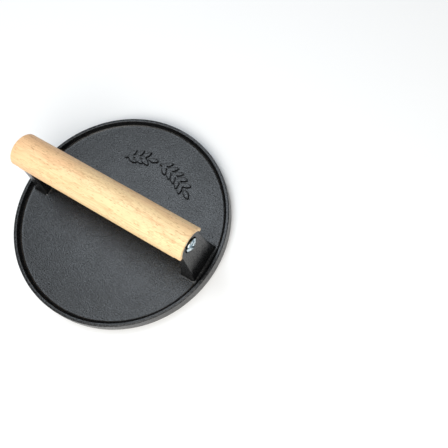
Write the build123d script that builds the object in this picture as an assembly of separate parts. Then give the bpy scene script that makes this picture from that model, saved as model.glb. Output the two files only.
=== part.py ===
"""A round cast-iron patty press with a beech handle carried by two cast posts.

Frame: millimetres, origin at the centre of the flat pressing face, +Z up, +X along the handle.
Each piece is one solid in one file. The two ends are mirror images, so their pieces come from
one function each and are placed with side = +1 (right end, +X) or side = -1 (left end, -X).
"""

import os
from math import cos, radians, sin, tan

from build123d import *

# Plate: a disc with a raised rim round its top, all one casting with the posts.
PLATE_RADIUS = 90.0
PLATE_EDGE_ROUND = 1.0
FLOOR_TOP = 7.0
RIM_TOP = 12.0
RIM_OUTER_RADIUS = 89.3
RIM_INNER_RADIUS = 86.6
RIM_FOOT_RADIUS = 85.2
RIM_OUTER_ROUND = 0.7
RIM_INNER_ROUND = 0.5
RIM_FOOT_ROUND = 2.2

# Posts: drafted on all four sides and flared at the foot, with a round top on the handle's axis.
HANDLE_AXIS_Z = 57.9
DRAFT_DEG = 3.5
POST_TOP_RADIUS = 10.9
FLARE_TOP_Z = 32.0           # below this the flanks curve out to the foot
ROOT_HALF_WIDTH = 16.8       # where the flare ends, under the floor
POST_ROOT = 3.0              # how deep the post's solid runs into the plate
POST_INNER_X = 68.7          # where the inner side meets the floor
POST_OUTER_X = 81.2          # where the outer side meets the floor
POST_EDGE_ROUND = 1.1
POST_FOOT_ROUND = 1.2
SEAT_X = 76.0                # flat seat for the washer, sunk into the drafted outer side
SEAT_RADIUS = 6.6
POST_BORE_RADIUS = 3.3

# Handle: a turned beech cylinder. Each end is counterbored over the post's round top, and the
# lower half of what is left round the counterbore is cut away so that the post can enter.
HANDLE_RADIUS = 13.75
HANDLE_HALF_LENGTH = 78.6
HANDLE_END_ROUND = 0.9
HOOD_CLEARANCE = 0.4
HOOD_EDGE_RISE = 1.3         # how far above the axis the cut leaves the hood's lower edge
INSERT_BORE_RADIUS = 5.0
TIP_BORE_RADIUS = 3.4
TIP_BORE_END_X = 48.0

# Fasteners: an M6 pan-head screw, a spring washer and a threaded insert at each end.
SCREW_RADIUS = 2.95
SCREW_TIP_X = 52.0
SCREW_TIP_CHAMFER = 0.6
HEAD_RADIUS = 5.7
HEAD_EDGE_HEIGHT = 1.4       # straight part of the head's side
HEAD_HEIGHT = 3.3
CROSS_SPAN = 6.4
CROSS_WING_WIDTH = 1.3
CROSS_CORE_RADIUS = 1.5
CROSS_DEPTH = 2.0
WASHER_INNER_RADIUS = 3.1
WASHER_OUTER_RADIUS = 5.6
WASHER_THICKNESS = 1.5
WASHER_GAP = 0.8             # the split in the spring washer
INSERT_LENGTH = 14.0
INSERT_INNER_RADIUS = 3.0
INSERT_RECESS = 1.0          # how far the insert lies below the counterbore's floor
INSERT_SLOT_WIDTH = 1.6
INSERT_SLOT_DEPTH = 2.5

# Ornament: two raised sprigs of plain leaves on one arc round the plate's centre.
SPRIG_ARC_RADIUS = 55.0
SPRIG_HEIGHT = 1.4
SPRIG_ROOT = 0.5             # how deep the leaves run into the floor
STEM_WIDTH = 1.5
LEAF_LENGTH = 9.2
LEAF_WIDTH = 3.7
LEAF_PITCH_DEG = 6.3
LEAF_LEAN_DEG = 42.0
LEAF_STEM_OVERLAP = 0.2      # how far a leaf's foot passes the stem's middle line
SPRIGS = ((123.0, 3), (89.0, 5))    # (polar angle of the stem's foot, pairs of leaves)

SLOPE = tan(radians(DRAFT_DEG))


def post_inner_x(z):
    return POST_INNER_X + (z - FLOOR_TOP) * SLOPE


def post_outer_x(z):
    return POST_OUTER_X - (z - FLOOR_TOP) * SLOPE


def post_outline():
    """The post seen along X: a round top on the handle's axis, drafted flanks, a flared foot."""
    draft = radians(DRAFT_DEG)
    root_z = FLOOR_TOP - POST_ROOT
    tangent_y = POST_TOP_RADIUS * cos(draft)
    tangent_z = HANDLE_AXIS_Z + POST_TOP_RADIUS * sin(draft)
    flare_y = tangent_y + (tangent_z - FLARE_TOP_Z) * SLOPE
    crown = (0, HANDLE_AXIS_Z + POST_TOP_RADIUS)
    with BuildSketch(Plane.YZ) as sketch:
        with BuildLine():
            ThreePointArc((tangent_y, tangent_z), crown, (-tangent_y, tangent_z))
            for side in (1, -1):
                Line((side * tangent_y, tangent_z), (side * flare_y, FLARE_TOP_Z))
                TangentArc(
                    (side * flare_y, FLARE_TOP_Z),
                    (side * ROOT_HALF_WIDTH, root_z),
                    tangent=(side * sin(draft), -cos(draft)),
                )
            Line((ROOT_HALF_WIDTH, root_z), (-ROOT_HALF_WIDTH, root_z))
        make_face()
    return sketch.sketch


def side_outline(points):
    """An XZ face from its corners."""
    with BuildSketch(Plane.XZ) as sketch:
        with BuildLine():
            Polyline(*points, close=True)
        make_face()
    return sketch.sketch


def along_x(radius, start_x, end_x):
    """A cylinder on the handle's axis between two places along it."""
    middle = (start_x + end_x) / 2
    return Pos(middle, 0, HANDLE_AXIS_Z) * Rot(0, 90, 0) * Cylinder(radius, abs(end_x - start_x))


def mirrored(solid, side):
    """The right end's solid as it is, or its mirror image for the left end."""
    return solid if side > 0 else solid.mirror(Plane.YZ)


def plate():
    with BuildSketch(Plane.XZ) as sketch:
        with BuildLine():
            Polyline(
                (0, 0),
                (PLATE_RADIUS, 0),
                (RIM_OUTER_RADIUS, RIM_TOP),
                (RIM_INNER_RADIUS, RIM_TOP),
                (RIM_FOOT_RADIUS, FLOOR_TOP),
                (0, FLOOR_TOP),
                close=True,
            )
        make_face()
        corners = sketch.vertices().sort_by(Axis.X)
        rounds = {
            (PLATE_RADIUS, 0): PLATE_EDGE_ROUND,
            (RIM_OUTER_RADIUS, RIM_TOP): RIM_OUTER_ROUND,
            (RIM_INNER_RADIUS, RIM_TOP): RIM_INNER_ROUND,
            (RIM_FOOT_RADIUS, FLOOR_TOP): RIM_FOOT_ROUND,
        }
        for (x, z), radius in rounds.items():
            corner = min(corners, key=lambda v: abs(v.X - x) + abs(v.Z - z))
            fillet(corner, radius)
            corners = sketch.vertices()
    return revolve(sketch.sketch, Axis.Z)


def post():
    """The right-hand post with its edges rounded, before its bore and seat are cut."""
    low_z = FLOOR_TOP - POST_ROOT
    high_z = HANDLE_AXIS_Z + POST_TOP_RADIUS + 1
    arch = extrude(post_outline(), amount=PLATE_RADIUS)
    wedge = extrude(
        side_outline(
            [
                (post_inner_x(low_z), low_z),
                (post_outer_x(low_z), low_z),
                (post_outer_x(high_z), high_z),
                (post_inner_x(high_z), high_z),
            ]
        ),
        amount=PLATE_RADIUS / 2,
        both=True,
    )
    body = (arch & wedge).solid()
    upright_edges = [edge for edge in body.edges() if edge.bounding_box().size.Z > POST_ROOT / 2]
    return fillet(upright_edges, POST_EDGE_ROUND).solid()


def leaf():
    """One leaf lying along +X from its foot at the origin: two arcs that meet in points."""
    with BuildSketch() as sketch:
        with BuildLine():
            ThreePointArc((0, 0), (LEAF_LENGTH * 0.45, LEAF_WIDTH / 2), (LEAF_LENGTH, 0))
            ThreePointArc((LEAF_LENGTH, 0), (LEAF_LENGTH * 0.45, -LEAF_WIDTH / 2), (0, 0))
        make_face()
    return sketch.sketch


def sprig(start_deg, pairs):
    """A stem along the arc, running clockwise, with pairs of leaves and one leaf at its tip."""
    with BuildSketch() as sketch:
        with BuildLine() as line:
            CenterArc((0, 0), SPRIG_ARC_RADIUS, start_deg, -pairs * LEAF_PITCH_DEG)
        trace(line.line, STEM_WIDTH)
    flat = sketch.sketch
    for index in range(pairs + 1):
        angle_deg = start_deg - (index + 0.5) * LEAF_PITCH_DEG
        leans = (LEAF_LEAN_DEG, -LEAF_LEAN_DEG) if index < pairs else (0,)
        foot = Rot(0, 0, angle_deg) * Pos(SPRIG_ARC_RADIUS, 0) * Rot(0, 0, -90)
        for lean in leans:
            flat += foot * Rot(0, 0, lean) * Pos(-LEAF_STEM_OVERLAP, 0) * leaf()
    return extrude(Pos(0, 0, FLOOR_TOP - SPRIG_ROOT) * flat, amount=SPRIG_HEIGHT + SPRIG_ROOT)


def press_plate():
    right_post = post()
    casting = plate() + right_post + right_post.mirror(Plane.YZ)
    # The edges round the posts' feet: at floor level, and all of each one close to a post.
    foot_edges = [
        edge
        for edge in casting.edges().filter_by_position(Axis.Z, FLOOR_TOP - 0.01, FLOOR_TOP + 0.01)
        if abs(edge.center().X) > POST_INNER_X - 1 and edge.bounding_box().size.Y < 2 * ROOT_HALF_WIDTH
    ]
    casting = fillet(foot_edges, POST_FOOT_ROUND)
    for side in (1, -1):
        casting -= mirrored(along_x(SEAT_RADIUS, SEAT_X, PLATE_RADIUS), side)
        casting -= mirrored(along_x(POST_BORE_RADIUS, POST_INNER_X, PLATE_RADIUS), side)
    for start_deg, pairs in SPRIGS:
        casting += sprig(start_deg, pairs)
    return casting


def beyond_post(low_z, high_z, outer_x):
    """All the space outside the right-hand post's inner side between two heights."""
    corners = [
        (post_inner_x(low_z), low_z),
        (outer_x, low_z),
        (outer_x, high_z),
        (post_inner_x(high_z), high_z),
    ]
    return extrude(side_outline(corners), amount=2 * HANDLE_RADIUS, both=True)


def handle():
    body = along_x(HANDLE_RADIUS, -HANDLE_HALF_LENGTH, HANDLE_HALF_LENGTH)
    body = fillet(body.edges().filter_by(GeomType.CIRCLE), HANDLE_END_ROUND)
    outer_x = HANDLE_HALF_LENGTH + 1
    low_z = HANDLE_AXIS_Z - HANDLE_RADIUS - 1
    high_z = HANDLE_AXIS_Z + HANDLE_RADIUS + 1
    hood_edge_z = HANDLE_AXIS_Z + HOOD_EDGE_RISE
    # The wood bears on the whole inner side of the post, so both cuts stop at that side's slope.
    counterbore = along_x(POST_TOP_RADIUS + HOOD_CLEARANCE, 0, outer_x)
    counterbore &= beyond_post(low_z, high_z, outer_x)
    for side in (1, -1):
        body -= mirrored(counterbore.solid(), side)
        body -= mirrored(beyond_post(low_z, hood_edge_z, outer_x), side)
        body -= mirrored(along_x(INSERT_BORE_RADIUS, insert_inner_end(), outer_x), side)
        body -= mirrored(along_x(TIP_BORE_RADIUS, TIP_BORE_END_X, outer_x), side)
    return body


def insert_outer_end():
    return post_inner_x(HANDLE_AXIS_Z - INSERT_BORE_RADIUS) - INSERT_RECESS


def insert_inner_end():
    return insert_outer_end() - INSERT_LENGTH


def threaded_insert():
    """A sleeve screwed into the wood, with a driving slot across its outer end."""
    body = along_x(INSERT_BORE_RADIUS, insert_inner_end(), insert_outer_end())
    body -= along_x(INSERT_INNER_RADIUS, insert_inner_end() - 1, insert_outer_end() + 1)
    slot_x = insert_outer_end() - INSERT_SLOT_DEPTH / 2
    slot = Pos(slot_x, 0, HANDLE_AXIS_Z) * Box(INSERT_SLOT_DEPTH, 3 * INSERT_BORE_RADIUS, INSERT_SLOT_WIDTH)
    return body - slot


def lock_washer():
    washer = along_x(WASHER_OUTER_RADIUS, SEAT_X, SEAT_X + WASHER_THICKNESS)
    washer -= along_x(WASHER_INNER_RADIUS, SEAT_X - 1, SEAT_X + WASHER_THICKNESS + 1)
    gap_z = HANDLE_AXIS_Z - (WASHER_INNER_RADIUS + WASHER_OUTER_RADIUS) / 2
    length = 2 * (WASHER_OUTER_RADIUS - WASHER_INNER_RADIUS)
    split = Pos(SEAT_X, 0, gap_z) * Rot(0, 0, 20) * Box(4 * WASHER_THICKNESS, WASHER_GAP, length)
    return washer - split


def screw():
    """The shank, the domed head and the cross recess, made upright and then laid along +X."""
    head_x = SEAT_X + WASHER_THICKNESS
    dome_rise = HEAD_HEIGHT - HEAD_EDGE_HEIGHT
    sphere_radius = (HEAD_RADIUS**2 + dome_rise**2) / (2 * dome_rise)
    shank_length = head_x - SCREW_TIP_X
    shank = Pos(0, 0, -shank_length / 2) * Cylinder(SCREW_RADIUS, shank_length)
    shank = chamfer(shank.edges().sort_by(Axis.Z)[0], SCREW_TIP_CHAMFER)
    head = Pos(0, 0, HEAD_HEIGHT / 2) * Cylinder(HEAD_RADIUS, HEAD_HEIGHT)
    head &= Pos(0, 0, HEAD_HEIGHT - sphere_radius) * Sphere(sphere_radius)
    wing = Box(CROSS_SPAN, CROSS_WING_WIDTH, CROSS_DEPTH)
    core = Cylinder(CROSS_CORE_RADIUS, CROSS_DEPTH)
    cross = wing + Rot(0, 0, 90) * wing + core
    body = head + shank - Pos(0, 0, HEAD_HEIGHT - CROSS_DEPTH / 2) * Rot(0, 0, 27) * cross
    return Pos(head_x, 0, HANDLE_AXIS_Z) * Rot(0, 90, 0) * body


def write(name, solid):
    solid.label = name
    export_step(solid, f"parts/{name}.step")


os.makedirs("parts", exist_ok=True)
write("press_plate", press_plate())
write("handle", handle())
for end_name, side in (("right", 1), ("left", -1)):
    write(f"screw_{end_name}", mirrored(screw(), side))
    write(f"lock_washer_{end_name}", mirrored(lock_washer(), side))
    write(f"threaded_insert_{end_name}", mirrored(threaded_insert(), side))
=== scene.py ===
import heapq
import itertools
import math
import random
from collections import Counter

import bmesh
import bpy
import numpy as np
from mathutils import Matrix, Vector, geometry, kdtree, noise


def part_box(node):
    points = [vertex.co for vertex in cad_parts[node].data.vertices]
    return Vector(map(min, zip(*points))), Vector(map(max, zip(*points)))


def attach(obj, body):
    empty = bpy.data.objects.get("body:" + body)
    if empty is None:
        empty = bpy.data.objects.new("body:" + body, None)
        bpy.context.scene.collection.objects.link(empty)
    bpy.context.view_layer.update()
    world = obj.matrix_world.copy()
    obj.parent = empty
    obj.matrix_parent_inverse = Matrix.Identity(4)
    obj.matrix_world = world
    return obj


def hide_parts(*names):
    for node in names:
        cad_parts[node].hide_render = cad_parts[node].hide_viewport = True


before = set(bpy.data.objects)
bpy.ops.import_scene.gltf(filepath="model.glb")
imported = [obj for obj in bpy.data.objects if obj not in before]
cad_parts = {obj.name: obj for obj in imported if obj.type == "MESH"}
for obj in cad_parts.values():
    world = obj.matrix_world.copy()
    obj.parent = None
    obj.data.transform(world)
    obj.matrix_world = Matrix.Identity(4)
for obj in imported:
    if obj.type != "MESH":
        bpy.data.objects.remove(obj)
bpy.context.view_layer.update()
scene = bpy.context.scene
scene.view_settings.view_transform = "Standard"
MM = 0.001

# ---------------------------------------------------------------- driving dimensions
grip_low, grip_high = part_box("handle")
HANDLE_AXIS = Vector((0, 0, (grip_low.z + grip_high.z) / 2))
HANDLE_RADIUS = (grip_high.z - grip_low.z) / 2

screw_low, screw_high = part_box("screw_right")
HEAD_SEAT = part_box("lock_washer_right")[1].x
HEAD_RADIUS = (screw_high.z - screw_low.z) / 2
HEAD_HEIGHT = screw_high.x - HEAD_SEAT
HEAD_EDGE_HEIGHT, HEAD_EDGE_ROUND = 1.4 * MM, 0.35 * MM
DOME_RISE = HEAD_HEIGHT - HEAD_EDGE_HEIGHT
DOME_RADIUS = (HEAD_RADIUS**2 + DOME_RISE**2) / (2 * DOME_RISE)
RECESS_DEPTH, RECESS_SPAN, RECESS_WIDTH = 2.1 * MM, 6.4 * MM, 1.3 * MM

FLOOR_TOP = 7.0 * MM            # top of the plate inside the rim
RIM_ZONE = 84.5 * MM            # outside this radius the casting is a turned surface
FACE_RADIUS = 88.5 * MM         # its flat underside reaches almost this far
SPRIG_RADII = (44 * MM, 67 * MM)
SPRIG_ANGLES = (math.radians(40), math.radians(134))

FACE_SPACING = 1.3 * MM         # size of the triangles on the casting's two faces
SPRIG_SPACING = 0.6 * MM        # and of those round its raised sprigs
EDGE_SPACING = 2.4 * MM         # and of those on its rim and posts
WOOD_SPACING = 8.0 * MM         # and of those on the handle
LONGEST_EDGE = 1.3              # longest edge left, in units of the spacing
LATTICE_SHAKE = 0.2             # how far a filling point is moved at random, in the same units
OUTLINE_CLEARANCE = 0.6         # and how near to a corner of the outline it may lie

WELD = 1e-6
FLAT_TOLERANCE = 2e-6           # how far from its plane a corner of a flat area may lie
FLAT_SEED_AREA = 1.5 * MM**2    # a flat area is looked for from triangles larger than this
FLAT_AREA = 80 * MM**2          # and is filled afresh when it is larger than this
FLAT_WIDTH = 2.2 * MM           # and wider than this, which the strips of a turned surface aren't
CDT_INSIDE = 1                  # Blender's code for triangles inside the outline, holes filled too
CDT_TOLERANCE = 1e-6            # nearness in that triangulation, in mm


# ---------------------------------------------------------------- mesh tools
def welded_copy(node):
    """The CAD node's surface as a bmesh whose triangles share their corners."""
    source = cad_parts[node].data
    bm = bmesh.new()
    verts = [bm.verts.new(v.co) for v in source.vertices]
    for polygon in source.polygons:
        bm.faces.new([verts[i] for i in polygon.vertices])
    bmesh.ops.remove_doubles(bm, verts=bm.verts, dist=WELD)
    bm.normal_update()
    return bm


def open_flat_areas(bm):
    """Takes the triangles out of the large flat areas and returns each area's (point, normal).
    Bit k of the edge layer "borders" marks the edges round the area number k."""
    bm.verts.index_update()
    faces = list(bm.faces)
    places = np.array([v.co for v in bm.verts])
    corners = np.array([[v.index for v in f.verts] for f in faces])
    areas = np.array([f.calc_area() for f in faces])
    looked_at = np.zeros(len(faces), bool)
    borders = bm.edges.layers.int.new("borders")
    planes, opened, inner_edges = [], [], []
    for seed in np.argsort(-areas):
        if areas[seed] < FLAT_SEED_AREA:
            break
        if looked_at[seed]:
            continue
        point, normal = faces[seed].verts[0].co.copy(), faces[seed].normal.copy()
        on_plane = abs((places - np.array(point)) @ np.array(normal)) < FLAT_TOLERANCE
        area = on_plane[corners].all(axis=1) & ~looked_at
        looked_at |= area
        in_area = places[np.unique(corners[area])]
        extent = np.linalg.norm(np.ptp(in_area, axis=0))
        if areas[area].sum() < max(FLAT_AREA, FLAT_WIDTH * extent):
            continue
        members = {faces[i] for i in np.flatnonzero(area)}
        for edge in {e for f in members for e in f.edges}:
            if all(f in members for f in edge.link_faces):
                inner_edges.append(edge)
            else:
                edge[borders] |= 1 << len(planes)
        planes.append((point, normal))
        opened += members
    bmesh.ops.delete(bm, geom=opened, context="FACES_ONLY")
    bmesh.ops.delete(bm, geom=inner_edges, context="EDGES_FACES")
    bmesh.ops.delete(bm, geom=[v for v in bm.verts if not v.link_edges], context="VERTS")
    return planes


def halve_long_edges(bm, spacing_at, middle_of):
    """Halves edges, the longest first, until none is long. middle_of places each new point."""
    queue = []

    def look_at(edge):
        a, b = edge.verts
        length = edge.calc_length()
        if length > LONGEST_EDGE * spacing_at((a.co + b.co) / 2):
            heapq.heappush(queue, (-length, next(ticket), edge))

    ticket = itertools.count()
    for edge in list(bm.edges):
        look_at(edge)
    while queue:
        edge = heapq.heappop(queue)[2]
        a, b = edge.verts
        middle = middle_of(a.co, b.co)
        sides = [(f, next(v for v in f.verts if v not in (a, b))) for f in edge.link_faces]
        new_vert = bmesh.utils.edge_split(edge, a, 0.5)[1]
        new_vert.co = middle
        for face, opposite in sides:
            bmesh.utils.face_split(face, new_vert, opposite)
        for edge in new_vert.link_edges:
            look_at(edge)


def inside(points, starts, ends):
    """Which 2-D points lie inside the outline made of the segments, by counting crossings."""
    rise = ends[:, 1] - starts[:, 1]
    run_per_rise = (ends[:, 0] - starts[:, 0]) / np.where(rise == 0, 1, rise)
    result = []
    for x, y in points:
        spans = (starts[:, 1] > y) != (ends[:, 1] > y)
        crossings = spans & (x < starts[:, 0] + (y - starts[:, 1]) * run_per_rise)
        result.append(crossings.sum() % 2 == 1)
    return np.array(result, bool)


def lattice(low, high, spacing, rng):
    """Points of a triangular lattice over a rectangle, each moved a little at random."""
    points = []
    row_step = spacing * math.sqrt(3) / 2
    shake = LATTICE_SHAKE * spacing
    for row in range(math.ceil((high[1] - low[1]) / row_step)):
        for column in range(math.ceil((high[0] - low[0]) / spacing) + 1):
            x = low[0] + (column - 0.5 * (row % 2)) * spacing
            y = low[1] + row * row_step
            points.append((x + rng.uniform(-shake, shake), y + rng.uniform(-shake, shake)))
    return points


def without_loose(triangles, segments):
    """Drops every triangle that has a free side off the outline, such as a sliver outside it."""
    outline = {frozenset(segment) for segment in segments}
    sides = {tuple(t): [frozenset(pair) for pair in itertools.combinations(t, 2)] for t in triangles}
    while True:
        uses = Counter(side for three in sides.values() for side in three)
        free = {side for side, count in uses.items() if count == 1} - outline
        loose = [t for t, three in sides.items() if not free.isdisjoint(three)]
        if not loose:
            return list(sides)
        for triangle in loose:
            del sides[triangle]


def fill_flat_area(bm, index, point, normal, spacings, spacing_at):
    """Fills the outline round flat area number index with even triangles."""
    borders = bm.edges.layers.int["borders"]
    bm.verts.index_update()
    outline = [e for e in bm.edges if e[borders] >> index & 1]
    rim = sorted({v for e in outline for v in e.verts}, key=lambda v: v.index)
    number = {v: i for i, v in enumerate(rim)}
    across = normal.orthogonal().normalized()
    along = normal.cross(across)
    flat = [((v.co - point).dot(across) / MM, (v.co - point).dot(along) / MM) for v in rim]
    segments = [(number[e.verts[0]], number[e.verts[1]]) for e in outline]
    starts = np.array([flat[a] for a, _ in segments])
    ends = np.array([flat[b] for _, b in segments])

    near_rim = kdtree.KDTree(len(flat))
    for i, (x, y) in enumerate(flat):
        near_rim.insert((x, y, 0), i)
    near_rim.balance()
    rng = random.Random(index)
    filling = []
    for spacing in spacings:
        size = spacing / MM
        candidates = lattice(np.min(flat, axis=0), np.max(flat, axis=0), size, rng)
        candidates = [
            (x, y)
            for x, y in candidates
            if spacing_at(point + (across * x + along * y) * MM) == spacing
            and near_rim.find((x, y, 0))[2] > OUTLINE_CLEARANCE * size
        ]
        if candidates:
            kept = inside(candidates, starts, ends)
            filling += [p for p, is_in in zip(candidates, kept) if is_in]

    every = [Vector(p) for p in flat + filling]
    result = geometry.delaunay_2d_cdt(every, segments, [], CDT_INSIDE, CDT_TOLERANCE, True)
    faces, origins = result[2], result[3]
    triangles = [[origins[i][0] for i in triangle] for triangle in faces]
    # A triangle between rim points alone may lie in a hole or a hollow of the outline.
    doubtful = [t for t in triangles if max(t) < len(rim)]
    centres = [sum((every[i] for i in t), Vector((0, 0))) / 3 for t in doubtful]
    outside = {tuple(t) for t, is_in in zip(doubtful, inside(centres, starts, ends)) if not is_in}
    verts = rim + [bm.verts.new(point + (across * x + along * y) * MM) for x, y in filling]
    for triangle in without_loose([t for t in triangles if tuple(t) not in outside], segments):
        bm.faces.new([verts[i] for i in triangle])


def refined(node, spacings, spacing_at, middle_of):
    """The CAD node's surface with small, even triangles, so that it can carry relief."""
    bm = welded_copy(node)
    planes = open_flat_areas(bm)
    halve_long_edges(bm, spacing_at, middle_of)
    for index, (point, normal) in enumerate(planes):
        fill_flat_area(bm, index, point, normal, spacings, spacing_at)
    bm.normal_update()
    return bm


def new_piece(name, bm, material, replaced, sharp_deg=35):
    """Turns the bmesh into a visible piece that rides on the press."""
    mesh = bpy.data.meshes.new(name)
    bm.to_mesh(mesh)
    bm.free()
    mesh.shade_smooth()
    mesh.set_sharp_from_angle(angle=math.radians(sharp_deg))
    mesh.materials.append(material)
    piece = bpy.data.objects.new(name, mesh)
    scene.collection.objects.link(piece)
    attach(piece, "root")
    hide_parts(replaced)


def skin(rings, closed=False):
    """A solid through rings of points: open ends are capped, or the last ring meets the first."""
    bm = bmesh.new()
    rows = [[bm.verts.new(p) for p in ring] for ring in rings]
    count = len(rows[0])
    pairs = list(zip(rows, rows[1:])) + ([(rows[-1], rows[0])] if closed else [])
    for row, next_row in pairs:
        for i in range(count):
            j = (i + 1) % count
            bm.faces.new((row[i], row[j], next_row[j], next_row[i]))
    if not closed:
        bm.faces.new(rows[0])
        bm.faces.new(rows[-1])
    bmesh.ops.recalc_face_normals(bm, faces=bm.faces)
    return bm


def cut(bm, cutter):
    """The first solid less the second, both as bmeshes."""
    objects = []
    for part in (bm, cutter):
        mesh = bpy.data.meshes.new("cutting")
        part.to_mesh(mesh)
        part.free()
        objects.append(bpy.data.objects.new("cutting", mesh))
        scene.collection.objects.link(objects[-1])
    modifier = objects[0].modifiers.new("cut", "BOOLEAN")
    modifier.operation = "DIFFERENCE"
    modifier.solver = "EXACT"
    modifier.object = objects[1]
    depsgraph = bpy.context.evaluated_depsgraph_get()
    result = bmesh.new()
    result.from_mesh(objects[0].evaluated_get(depsgraph).to_mesh())
    for used in objects:
        bpy.data.objects.remove(used)
    return result


# ---------------------------------------------------------------- material tools
class Shader:
    """A material on a Principled BSDF, with short calls for adding nodes to it."""

    def __init__(self, name):
        self.material = bpy.data.materials.new(name)
        self.material.use_nodes = True
        self.tree = self.material.node_tree
        self.surface = self.tree.nodes["Principled BSDF"]

    def node(self, kind, inputs, **settings):
        node = self.tree.nodes.new("ShaderNode" + kind)
        for key, value in settings.items():
            setattr(node, key, value)
        self.fill(node, inputs)
        return node

    def fill(self, node, inputs):
        for key, value in inputs.items():
            if isinstance(value, bpy.types.NodeSocket):
                self.tree.links.new(value, node.inputs[key])
            else:
                node.inputs[key].default_value = value

    def set(self, **inputs):
        self.fill(self.surface, {key.replace("_", " "): value for key, value in inputs.items()})

    def millimetres(self, stretch=(1, 1, 1), shift=(0, 0, 0)):
        """Object coordinates in millimetres, each divided by its stretch and then shifted."""
        coordinates = self.node("TexCoord", {}).outputs["Object"]
        scale = [1 / (MM * s) for s in stretch]
        mapping = self.node("Mapping", {"Vector": coordinates, "Scale": scale, "Location": shift})
        return mapping.outputs["Vector"]

    def noise(self, vector, scale, detail=2.0, roughness=0.5):
        """Cloudy values from 0 to 1, finer with a larger scale."""
        inputs = {"Vector": vector, "Scale": scale, "Detail": detail, "Roughness": roughness}
        return self.node("TexNoise", inputs).outputs["Fac"]

    def remap(self, value, low, high, to_low=0.0, to_high=1.0):
        """Carries low..high to to_low..to_high, clamped, with a soft start and end."""
        inputs = {
            "Value": value,
            "From Min": low,
            "From Max": high,
            "To Min": to_low,
            "To Max": to_high,
        }
        return self.node("MapRange", inputs, interpolation_type="SMOOTHSTEP").outputs["Result"]

    def math(self, operation, a, b=0.0):
        node = self.node("Math", {0: a, 1: b}, operation=operation)
        return node.outputs[0]

    def mix(self, factor, a, b):
        """Mixes two colours, which are sockets 6 and 7 of the node and its output 2."""
        node = self.node("Mix", {0: factor, 6: a, 7: b}, data_type="RGBA")
        return node.outputs[2]

    def bump(self, height, depth):
        inputs = {"Height": height, "Distance": depth, "Strength": 1.0}
        return self.node("Bump", inputs).outputs["Normal"]


def rgb(r, g, b):
    return (r, g, b, 1.0)


# ---------------------------------------------------------------- materials
def cast_iron():
    """Black seasoned sand casting: satin, finely grained, with a few pits."""
    m = Shader("black seasoned cast iron")
    place = m.millimetres()
    cloud = m.noise(place, 0.045, detail=3)
    grain = m.noise(place, 1.0, detail=3, roughness=0.6)
    speck = m.remap(m.noise(place, 0.8, detail=2, roughness=0.6), 0.45, 0.7)
    colour = m.mix(m.remap(cloud, 0.3, 0.7), rgb(0.001, 0.0012, 0.0016), rgb(0.0025, 0.0028, 0.0034))
    colour = m.mix(m.math("MULTIPLY", speck, 0.5), colour, rgb(0.02, 0.021, 0.022))
    cells = m.node("TexVoronoi", {"Vector": place, "Scale": 0.22, "Randomness": 1.0})
    deep = m.remap(cells.outputs["Distance"], 0.05, 0.13, 1.0, 0.0)
    pits = m.math("MULTIPLY", deep, m.remap(m.noise(place, 0.09), 0.5, 0.6))
    height = m.math("SUBTRACT", grain, pits)
    dullness = m.math("ADD", m.math("MULTIPLY", cloud, 0.3), grain)
    m.set(
        Base_Color=colour,
        Roughness=m.remap(dullness, 0.4, 0.9, 0.17, 0.37),
        Specular_IOR_Level=0.55,
        Normal=m.bump(height, 0.24 * MM),
    )
    return m.material


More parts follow.
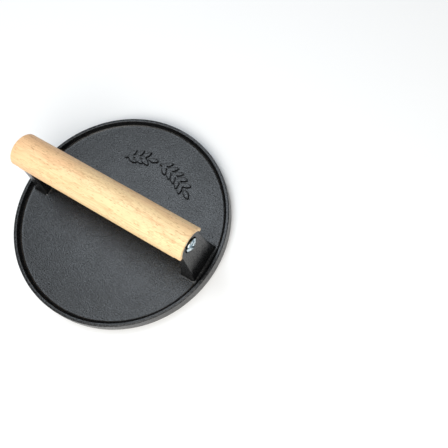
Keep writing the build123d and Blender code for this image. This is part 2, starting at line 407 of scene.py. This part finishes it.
def beech():
    """Bare sanded beech: growth rings round a distant pith, fine streaks, short brown flecks, and painted
    shade warming its +Y side.
    """
    m = Shader("bare sanded beech")
    place = m.millimetres()
    split = m.node("SeparateXYZ", {"Vector": place})
    pale, warm = rgb(0.90, 0.69, 0.385), rgb(0.92, 0.53, 0.285)
    umber, brown = rgb(0.58, 0.32, 0.15), rgb(0.36, 0.17, 0.07)
    pith_y, pith_z = -4.0, 36.0     # mm
    rings_per_mm, ring_wander = 0.3, 4.5
    # Rings: shells round a pith that lies below the bar, wandering along it.
    wander = m.noise(m.millimetres(stretch=(34, 9, 9)), 1.0, detail=2)
    across_y = m.math("SUBTRACT", split.outputs["Y"], pith_y)
    across_z = m.math("SUBTRACT", split.outputs["Z"], pith_z)
    squares = [m.math("MULTIPLY", d, d) for d in (across_y, across_z)]
    radius = m.math("SQRT", m.math("ADD", *squares))
    even_rings = m.math("MULTIPLY", radius, rings_per_mm)
    growth = m.math("ADD", even_rings, m.math("MULTIPLY", wander, ring_wander))
    late = m.remap(m.math("FRACT", growth), 0.6, 1.0)
    streak = m.noise(m.millimetres(stretch=(26, 1, 1)), 0.8, detail=3, roughness=0.65)
    drift = m.noise(m.millimetres(stretch=(40, 14, 14)), 1.0)
    # Warmer towards the left end and in drifting patches, which is the wood's own tone; warmer and darker
    # on the +Y side, away from the key light, which is painted shade.
    tone_and_far_side_shade = [
        m.remap(split.outputs["X"], -90.0, 10.0, 0.62, 0.0),
        m.remap(split.outputs["Y"], -2.0, 13.0, 0.0, 0.22),
        m.remap(drift, 0.4, 0.7, 0.0, 0.35),
    ]
    tone_with_far_side_shade = m.math("ADD", m.math("ADD", *tone_and_far_side_shade[:2]), tone_and_far_side_shade[2])
    colour = m.mix(tone_with_far_side_shade, pale, warm)
    colour = m.mix(m.math("MULTIPLY", late, 0.3), colour, umber)
    colour = m.mix(m.math("MULTIPLY", m.remap(streak, 0.45, 0.7), 0.36), colour, umber)
    # Loops: where the bar's surface just grazes a ring.
    swell = m.noise(m.millimetres(stretch=(12, 5, 5), shift=(0, 3, 7)), 1.0, detail=2)
    loop = m.remap(m.math("PINGPONG", m.math("MULTIPLY", swell, 8.0), 0.5), 0.24, 0.5)
    grazed = m.remap(m.noise(m.millimetres(stretch=(30, 12, 12), shift=(2, 1, 4)), 1.0), 0.36, 0.54)
    colour = m.mix(m.math("MULTIPLY", m.math("MULTIPLY", loop, grazed), 0.28), colour, umber)
    # Flecks: the short brown ends of the rays, in some places more than in others.
    cells = m.node("TexVoronoi", {"Vector": m.millimetres(stretch=(4.5, 1, 1)), "Scale": 0.85})
    dash = m.remap(cells.outputs["Distance"], 0.08, 0.36, 1.0, 0.0)
    chosen = m.remap(m.noise(m.millimetres(stretch=(6, 3, 3)), 1.0), 0.34, 0.54)
    dash = m.math("MULTIPLY", dash, chosen)
    colour = m.mix(m.math("MULTIPLY", dash, 0.6), colour, brown)
    m.set(
        Base_Color=colour,
        Roughness=m.remap(streak, 0.3, 0.7, 0.5, 0.62),
        Specular_IOR_Level=0.4,
        Normal=m.bump(m.math("SUBTRACT", streak, m.math("MULTIPLY", dash, 0.5)), 0.04 * MM),
    )
    return m.material


def zinc():
    """Bright zinc plating, cloudy and faintly blue, with painted shade darkening the head's cross recess.
    """
    m = Shader("bright zinc plate")
    place = m.millimetres()
    cloud = m.noise(place, 0.45, detail=3)
    colour = m.mix(m.remap(cloud, 0.42, 0.58), rgb(0.16, 0.23, 0.27), rgb(0.62, 0.70, 0.74))
    # How far a point lies under the head's dome, and how far from the screw's axis.
    split = m.node("SeparateXYZ", {"Vector": place})
    out = m.math("SUBTRACT", m.math("ABSOLUTE", split.outputs["X"]), (screw_high.x - DOME_RADIUS) / MM)
    up = m.math("SUBTRACT", split.outputs["Z"], HANDLE_AXIS.z / MM)
    squares = [m.math("MULTIPLY", d, d) for d in (split.outputs["Y"], up, out)]
    from_axis = m.math("SQRT", m.math("ADD", *squares[:2]))
    reach = m.math("SQRT", m.math("ADD", m.math("ADD", *squares[:2]), squares[2]))
    depth = m.math("SUBTRACT", DOME_RADIUS / MM, reach)
    arm_end, blur = RECESS_SPAN / 2 / MM, 0.3
    in_cross = m.remap(from_axis, arm_end, arm_end + blur, 1.0, 0.0)
    # Painted shade: the cross recess is darkened almost to black where it sinks under the dome.
    recess_painted_shade = m.math("MULTIPLY", m.remap(depth, 0.05, 0.6), in_cross)
    colour = m.mix(recess_painted_shade, colour, rgb(0.012, 0.014, 0.016))
    m.set(
        Base_Color=colour,
        Metallic=1.0,
        Roughness=m.remap(m.noise(place, 3.0, detail=3), 0.3, 0.7, 0.12, 0.22),
        Normal=m.bump(m.noise(m.millimetres(stretch=(1, 6, 1)), 4.0), 0.01 * MM),
    )
    return m.material


def black_steel():
    """Black-oxide spring steel, worn a little brighter in places."""
    m = Shader("black oxide steel")
    cloud = m.noise(m.millimetres(), 1.4, detail=4)
    m.set(
        Base_Color=m.mix(m.remap(cloud, 0.5, 0.8), rgb(0.010, 0.010, 0.011), rgb(0.06, 0.06, 0.065)),
        Metallic=0.6,
        Roughness=m.remap(cloud, 0.3, 0.7, 0.32, 0.5),
        Normal=m.bump(cloud, 0.02 * MM),
    )
    return m.material


def brass():
    """Turned brass with fine tool marks round it."""
    m = Shader("turned brass")
    place = m.millimetres()
    marks = m.noise(m.millimetres(stretch=(0.15, 8, 8)), 1.0, detail=2)
    cloud = m.noise(place, 0.5)
    m.set(
        Base_Color=m.mix(m.remap(cloud, 0.3, 0.7), rgb(0.72, 0.52, 0.22), rgb(0.82, 0.64, 0.32)),
        Metallic=1.0,
        Roughness=m.remap(marks, 0.3, 0.7, 0.24, 0.4),
        Normal=m.bump(marks, 0.01 * MM),
    )
    return m.material


def paper_white():
    """The pale floor under the press."""
    m = Shader("pale floor")
    m.set(Base_Color=rgb(0.9, 0.9, 0.9), Roughness=0.8)
    return m.material


IRON, BEECH, ZINC, BLACK_STEEL, BRASS = cast_iron(), beech(), zinc(), black_steel(), brass()


# ---------------------------------------------------------------- the casting
UNEVENNESS, UNEVEN_LENGTH = 0.10 * MM, 16 * MM
PEBBLE_DEPTH, PEBBLE_LENGTH = 0.05 * MM, 2.6 * MM
FACE_PEBBLE_DEPTH, FACE_PEBBLE_LENGTH = 0.10 * MM, 3.2 * MM
FACE_PEBBLE_SHIFT = Vector((7, 3, 5))
UNDERSIDE_NORMAL_Z = -0.5       # the underside's normals point further down than this
FLOOR_NORMAL_Z = 0.9            # and a face less level than this is a side of a leaf
SPRIG_SMOOTHINGS = 1
LEAF_GROOVE = 0.4 * MM          # how far the floor sinks along the foot of a leaf


def unit_noise(point):
    """Smooth noise between about 0 and 1."""
    return 0.5 + 0.5 * noise.noise(point)


def near_sprigs(point):
    """Whether a point is on the recessed floor or above it, in the arc that holds the sprigs."""
    angle = math.atan2(point.y, point.x)
    low, high = SPRIG_RADII
    return (
        point.z > FLOOR_TOP - WELD
        and low < point.xy.length < high
        and SPRIG_ANGLES[0] < angle < SPRIG_ANGLES[1]
    )


def casting_spacing(point):
    if near_sprigs(point):
        return SPRIG_SPACING
    on_face = point.z < FLOOR_TOP + WELD and point.xy.length < FACE_RADIUS
    return FACE_SPACING if on_face else EDGE_SPACING


def casting_middle(a, b):
    """Halfway between two points: round the plate's axis on the rim, straight elsewhere."""
    middle = (a + b) / 2
    radius_a, radius_b = a.xy.length, b.xy.length
    if min(radius_a, radius_b) > RIM_ZONE:
        middle.xy *= (radius_a + radius_b) / 2 / middle.xy.length
    return middle


def at_leaf_foot(vert):
    """Whether a corner of the recessed floor touches the side of a leaf."""
    on_floor = abs(vert.co.z - FLOOR_TOP) < WELD
    return on_floor and any(abs(face.normal.z) < FLOOR_NORMAL_Z for face in vert.link_faces)


def casting_relief(point, normal):
    """How deep the cast surface lies below the drawn one at a point. It is never above it."""
    depth = UNEVENNESS * unit_noise(point / UNEVEN_LENGTH)
    depth += PEBBLE_DEPTH * unit_noise(point / PEBBLE_LENGTH)
    if normal.z < UNDERSIDE_NORMAL_Z:
        depth += FACE_PEBBLE_DEPTH * unit_noise(point / FACE_PEBBLE_LENGTH + FACE_PEBBLE_SHIFT)
    return depth


def make_casting():
    spacings = (FACE_SPACING, SPRIG_SPACING, EDGE_SPACING)
    bm = refined("press_plate", spacings, casting_spacing, casting_middle)
    sprig_verts = [v for v in bm.verts if near_sprigs(v.co)]
    feet = [v for v in sprig_verts if at_leaf_foot(v)]
    for _ in range(SPRIG_SMOOTHINGS):
        bmesh.ops.smooth_vert(
            bm, verts=sprig_verts, factor=0.5, use_axis_x=True, use_axis_y=True, use_axis_z=True
        )
    for vert in feet:
        vert.co.z -= LEAF_GROOVE
    bm.normal_update()
    moves = [(v, v.normal * -casting_relief(v.co, v.normal)) for v in bm.verts]
    for vert, move in moves:
        vert.co += move
    new_piece("plate_casting", bm, IRON, "press_plate")


make_casting()


# ---------------------------------------------------------------- the handle
SANDING, SANDING_LENGTH = 0.07 * MM, 22 * MM
END_ROUND_ZONE = HANDLE_RADIUS - 1.0 * MM   # outside this radius the bar is a turned surface


def handle_middle(a, b):
    """Halfway between two points: round the handle's axis on turned surfaces, else straight."""
    middle = (a + b) / 2
    radii = [math.hypot(p.y, p.z - HANDLE_AXIS.z) for p in (a, b, middle)]
    if min(radii[:2]) > END_ROUND_ZONE or abs(radii[0] - radii[1]) < 2 * WELD:
        grow = (radii[0] + radii[1]) / 2 / radii[2]
        middle.y *= grow
        middle.z = HANDLE_AXIS.z + (middle.z - HANDLE_AXIS.z) * grow
    return middle


def make_handle():
    bm = refined("handle", (WOOD_SPACING,), lambda point: WOOD_SPACING, handle_middle)
    for vert in bm.verts:
        vert.co -= vert.normal * SANDING * unit_noise(vert.co / SANDING_LENGTH)
    new_piece("beech_handle", bm, BEECH, "handle")


make_handle()


# ---------------------------------------------------------------- the fasteners
ROUND = 48                      # points round a turned piece
THREAD_FLAT = 0.12              # share of the pitch that a thread's crest takes, and its root too
SCREW_PITCH, SCREW_THREAD_DEPTH = 1.0 * MM, 0.55 * MM
NECK_RADIUS, NECK_LENGTH, NECK_FLARE = 2.6 * MM, 1.2 * MM, 0.3 * MM
SHANK_RADIUS, TIP_STEP = 2.95 * MM, 0.1 * MM
HEAD_LIP = 0.1 * MM             # the small steps at the foot and the shoulder of the head's edge
DOME_RINGS = 14
DOME_INSET = 0.01               # how far inside the head's radius the first of them lies, as a share
RECESS_TAPER = 0.5              # reach of the recess's arms at its floor, as a share of that at its mouth
RECESS_FLOOR_HALF_WIDTH = RECESS_WIDTH / 3
RECESS_CLEARANCE = 0.2 * MM     # how far the tool that cuts it stands over the dome
RECESS_TURN_DEG = {"right": 27, "left": 64}
WASHER_INNER_RADIUS, WASHER_LEAD, WASHER_CORNER = 3.1 * MM, 0.18 * MM, 0.2 * MM
WASHER_GAP_DEG, WASHER_SLANT_DEG, WASHER_STEPS = 10, 9, 72
INSERT_PITCH, INSERT_THREAD_DEPTH = 2.5 * MM, 0.9 * MM
INSERT_INNER_RADIUS, INSERT_INNER_DEPTH = 3.0 * MM, 0.25 * MM
INSERT_SLOT_WIDTH, INSERT_SLOT_DEPTH = 1.6 * MM, 2.5 * MM
INSERT_END_STEP = 0.3 * MM      # how far its ends lie below the root of its outer thread
STEPS_PER_PITCH = 8
INNER_STEPS = 4                 # rings of an insert's inner thread for each one of its outer thread


def ring(x, radii):
    """A ring of points round the X axis, from one radius or from one radius for each point."""
    turns = np.arange(ROUND) * math.tau / ROUND
    radii = np.broadcast_to(radii, ROUND)
    return [(x, r * math.cos(t), r * math.sin(t)) for r, t in zip(radii, turns)]


def thread_radii(x, crest, depth, pitch):
    """The radii round a right-hand thread's section at x."""
    phase = (x / pitch - np.arange(ROUND) / ROUND) % 1.0
    flank = np.clip((np.abs(2 * phase - 1) - THREAD_FLAT) / (1 - 2 * THREAD_FLAT), 0, 1)
    return crest - depth * flank


def at_end(bm, side, x):
    """Moves a solid made round the X axis onto the handle's axis, turned round for the left end."""
    turn = Matrix.Identity(4) if side > 0 else Matrix.Rotation(math.pi, 4, "Z")
    place = Matrix.Translation((side * x, 0, HANDLE_AXIS.z))
    bmesh.ops.transform(bm, matrix=place @ turn, verts=bm.verts)
    return bm


def cross_outline(x, reach, half_width):
    """The twelve corners of a cross across the X axis."""
    w, r = half_width, reach
    arm = [(r, -w), (r, w), (w, w)]
    corners = []
    for quarter in range(4):
        turn = Matrix.Rotation(quarter * math.pi / 2, 2)
        corners += [turn @ Vector(p) for p in arm]
    return [(x, p.x, p.y) for p in corners]


def make_screw(end, side):
    """A pan-head screw with a cross recess, from its tip to the top of its head."""
    node = "screw_" + end
    length = HEAD_SEAT - screw_low.x
    rings = [ring(-length, SHANK_RADIUS - SCREW_THREAD_DEPTH - TIP_STEP)]
    step = SCREW_PITCH / STEPS_PER_PITCH
    for i in range(int((length - NECK_LENGTH) / step)):
        x = -length + (i + 1) * step
        cone = SHANK_RADIUS - SCREW_THREAD_DEPTH + (x + length)
        radii = thread_radii(x, SHANK_RADIUS, SCREW_THREAD_DEPTH, SCREW_PITCH)
        rings.append(ring(x, np.minimum(radii, cone)))
    neck_and_edge = [
        (-NECK_LENGTH, NECK_RADIUS),
        (-NECK_FLARE, NECK_RADIUS),
        (0, NECK_RADIUS + NECK_FLARE),
        (0, HEAD_RADIUS - HEAD_EDGE_ROUND),
        (HEAD_LIP, HEAD_RADIUS - HEAD_LIP),
        (HEAD_EDGE_ROUND, HEAD_RADIUS),
        (HEAD_EDGE_HEIGHT - HEAD_LIP, HEAD_RADIUS),
    ]
    rings += [ring(x, r) for x, r in neck_and_edge]
    for i in range(DOME_RINGS):
        r = HEAD_RADIUS * (1 - DOME_INSET - i / DOME_RINGS)
        rings.append(ring(HEAD_HEIGHT - DOME_RADIUS + math.sqrt(DOME_RADIUS**2 - r**2), r))
    reach, floor = RECESS_SPAN / 2, HEAD_HEIGHT - RECESS_DEPTH
    mouth = cross_outline(HEAD_HEIGHT + RECESS_CLEARANCE, reach, RECESS_WIDTH / 2)
    cross = skin([mouth, cross_outline(floor, reach * RECESS_TAPER, RECESS_FLOOR_HALF_WIDTH)])
    turn = Matrix.Rotation(math.radians(RECESS_TURN_DEG[end]), 4, "X")
    bmesh.ops.transform(cross, matrix=turn, verts=cross.verts)
    bm = at_end(cut(skin(rings), cross), side, HEAD_SEAT)
    new_piece("pan_head_screw_" + end, bm, ZINC, node, sharp_deg=32)


def make_washer(end, side):
    """A split spring washer, pressed nearly flat between the post and the screw's head."""
    node = "lock_washer_" + end
    low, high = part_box(node)
    seat = min(abs(low.x), abs(high.x))
    outer = (high.z - low.z) / 2
    thickness = high.x - low.x - WASHER_LEAD
    c = WASHER_CORNER
    section = [
        (WASHER_INNER_RADIUS + c, 0),
        (outer - c, 0),
        (outer, c),
        (outer, thickness - c),
        (outer - c, thickness),
        (WASHER_INNER_RADIUS + c, thickness),
        (WASHER_INNER_RADIUS, thickness - c),
        (WASHER_INNER_RADIUS, c),
    ]
    sweep = math.radians(360 - WASHER_GAP_DEG)
    rows = []
    for i in range(WASHER_STEPS + 1):
        share = i / WASHER_STEPS
        row = []
        for r, x in section:
            turn = share * sweep + math.radians(WASHER_SLANT_DEG) * x / thickness
            row.append((x + WASHER_LEAD * share, r * math.sin(turn), -r * math.cos(turn)))
        rows.append(row)
    bm = at_end(skin(rows), side, seat)
    new_piece("spring_washer_" + end, bm, BLACK_STEEL, node)


def make_insert(end, side):
    """A brass sleeve with a coarse outer thread for wood and a driving slot in its outer end."""
    node = "threaded_insert_" + end
    low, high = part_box(node)
    start = min(abs(low.x), abs(high.x))
    length = high.x - low.x
    crest = (high.z - low.z) / 2
    root = crest - INSERT_THREAD_DEPTH
    count = int(length / INSERT_PITCH * STEPS_PER_PITCH)
    rings = []
    for i in range(count + 1):
        x = length * i / count
        radii = thread_radii(x, crest, INSERT_THREAD_DEPTH, INSERT_PITCH)
        end_cone = root - INSERT_END_STEP + min(x, length - x)
        rings.append(ring(x, np.minimum(radii, end_cone)))
    for i in range(INNER_STEPS * count + 1):
        x = length * (1 - i / (INNER_STEPS * count))
        groove = thread_radii(x, 0, -INSERT_INNER_DEPTH, SCREW_PITCH)
        rings.append(ring(x, INSERT_INNER_RADIUS + groove))
    slot = bmesh.new()
    bmesh.ops.create_cube(slot, size=1)
    past_both_sides = 3 * crest
    size = Matrix.Diagonal((2 * INSERT_SLOT_DEPTH, past_both_sides, INSERT_SLOT_WIDTH, 1))
    place = Matrix.Translation((length, 0, 0)) @ size
    bmesh.ops.transform(slot, matrix=place, verts=slot.verts)
    bm = at_end(cut(skin(rings, closed=True), slot), side, start)
    new_piece("brass_insert_" + end, bm, BRASS, node)


for end, side in (("right", 1), ("left", -1)):
    make_screw(end, side)
    make_washer(end, side)
    make_insert(end, side)


# ---------------------------------------------------------------- floor, light and camera
# Lengths are in metres here, apart from LENS and SENSOR_WIDTH, which are in millimetres.
FLOOR_HALF_SIZE = 3.0
LIGHT_AIM = Vector((0, 0, 0.03))
WORLD_STRENGTH = 0.18
CAMERA_PLACE = Vector((0.1947, -0.0591, 0.4464))
CAMERA_AIM = Vector((0.0804, 0.0841, 0.0300))
CAMERA_ROLL_DEG = -9.07
CAMERA_NEAR_CLIP = 0.01
LENS, SENSOR_WIDTH = 45.585, 36
LENS_SHIFT = (-0.0705, -0.1276)         # in widths of the picture


def make_floor():
    bm = bmesh.new()
    bmesh.ops.create_grid(bm, x_segments=1, y_segments=1, size=FLOOR_HALF_SIZE)
    mesh = bpy.data.meshes.new("floor")
    bm.to_mesh(mesh)
    bm.free()
    mesh.materials.append(paper_white())
    floor = bpy.data.objects.new("floor", mesh)
    scene.collection.objects.link(floor)


def soft_light(name, place, size, power, colour):
    light = bpy.data.lights.new(name, "AREA")
    light.color = colour
    light.shape = "DISK"
    light.size = size
    light.energy = power
    lamp = bpy.data.objects.new(name, light)
    scene.collection.objects.link(lamp)
    lamp.location = place
    lamp.rotation_euler = (LIGHT_AIM - Vector(place)).to_track_quat("-Z", "Y").to_euler()


def make_world():
    world = bpy.data.worlds.new("soft white room")
    world.use_nodes = True
    background = world.node_tree.nodes["Background"]
    background.inputs["Color"].default_value = (1, 1, 1, 1)
    background.inputs["Strength"].default_value = WORLD_STRENGTH
    scene.world = world


def make_camera():
    data = bpy.data.cameras.new("camera")
    data.lens = LENS
    data.sensor_width = SENSOR_WIDTH
    data.clip_start = CAMERA_NEAR_CLIP
    data.shift_x, data.shift_y = LENS_SHIFT
    camera = bpy.data.objects.new("camera", data)
    scene.collection.objects.link(camera)
    level = (CAMERA_AIM - CAMERA_PLACE).to_track_quat("-Z", "Y").to_matrix().to_4x4()
    roll = Matrix.Rotation(math.radians(CAMERA_ROLL_DEG), 4, "Z")
    camera.matrix_world = Matrix.Translation(CAMERA_PLACE) @ level @ roll
    scene.camera = camera


make_floor()
make_world()
soft_light("key", place=(0.43, -0.84, 1.18), size=1.4, power=26.0, colour=(1.0, 0.985, 0.95))
soft_light("top", place=(-0.40, 0.18, 1.25), size=0.75, power=7.2, colour=(0.84, 0.92, 1.0))
make_camera()
